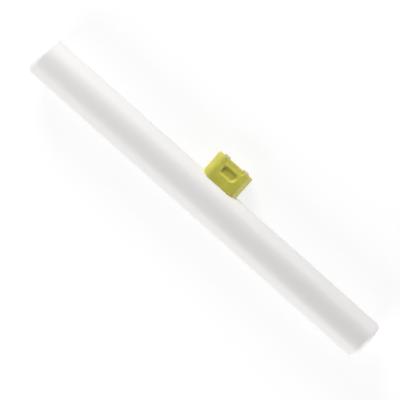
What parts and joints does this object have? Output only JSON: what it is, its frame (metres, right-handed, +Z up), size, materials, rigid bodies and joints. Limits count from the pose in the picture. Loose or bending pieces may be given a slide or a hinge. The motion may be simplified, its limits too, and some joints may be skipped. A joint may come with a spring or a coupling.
{
  "type": "tubular strip lamp with one side cap",
  "caption": "Slim opal glass tube lamp with flat rounded ends and a moulded two-contact cap set on the middle of its side, pushed into a latching lampholder.",
  "frame": {"origin": "centre of the bounding box's base, on the surface that the lamp lies on", "axes": "+X along the tube, -Y the side that the cap lies towards, +Z up from the surface; the lamp lies on its tube and on the long top edge of its cap, as it comes to rest"},
  "size_m": [0.3, 0.0478, 0.0295],
  "materials": {
    "opal_glass": "white opal, softly glossy",
    "cap_resin": "moulded thermosetting resin, yellow-green, softly glossy",
    "cement": "set, matt",
    "contact_metal": "nickel-plated brass strip, dull",
    "lead_metal": "copper-clad wire, drawn",
    "solder": "soft solder, dull"
  },
  "bodies": {
    "root": {"opal_tube": "opal_glass", "cap_shell": "cap_resin", "basing_cement": "cement", "contact_strip_left": "contact_metal", "contact_strip_right": "contact_metal", "lead_wire_left": "lead_metal", "lead_wire_right": "lead_metal", "solder_joint_left": "solder", "solder_joint_right": "solder"}
  },
  "joints": []
}
